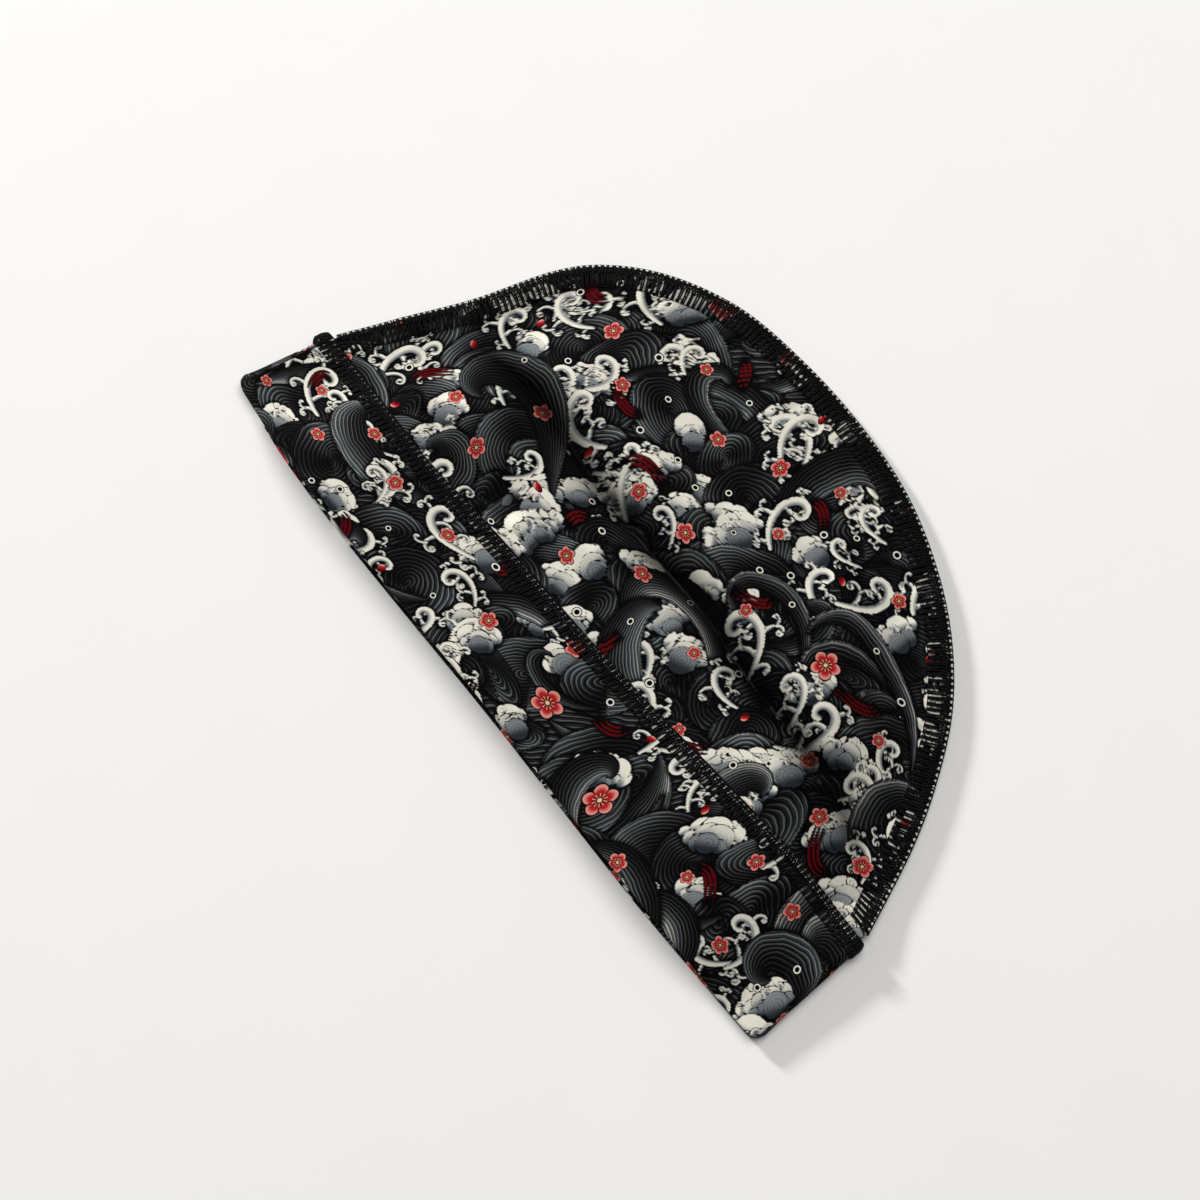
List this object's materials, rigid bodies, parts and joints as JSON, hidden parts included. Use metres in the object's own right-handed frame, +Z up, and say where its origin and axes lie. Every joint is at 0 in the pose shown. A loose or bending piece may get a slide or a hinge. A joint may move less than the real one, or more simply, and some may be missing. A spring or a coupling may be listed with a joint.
{
  "type": "wave cap lying flat",
  "caption": "Stretch jersey wave cap lying flat, half-moon in outline, with an overlocked seam round its curve and its hem turned up outside as a cuff.",
  "frame": {"origin": "middle of the underside of the cap's box, on the surface that it lies on", "axes": "+X along the brim, from the cuff's shallow end to its deep end; +Y from the brim to the crown; +Z up from the surface"},
  "size_m": [0.2696, 0.1552, 0.0154],
  "materials": {
    "printed_jersey": "matte",
    "overlock_thread": "matte"
  },
  "bodies": {
    "root": {"crown_panel_upper": "printed_jersey", "crown_panel_lower": "printed_jersey", "crown_seam_overlock": "overlock_thread", "cuff_band": "printed_jersey", "cuff_overlock": "overlock_thread"}
  },
  "joints": []
}
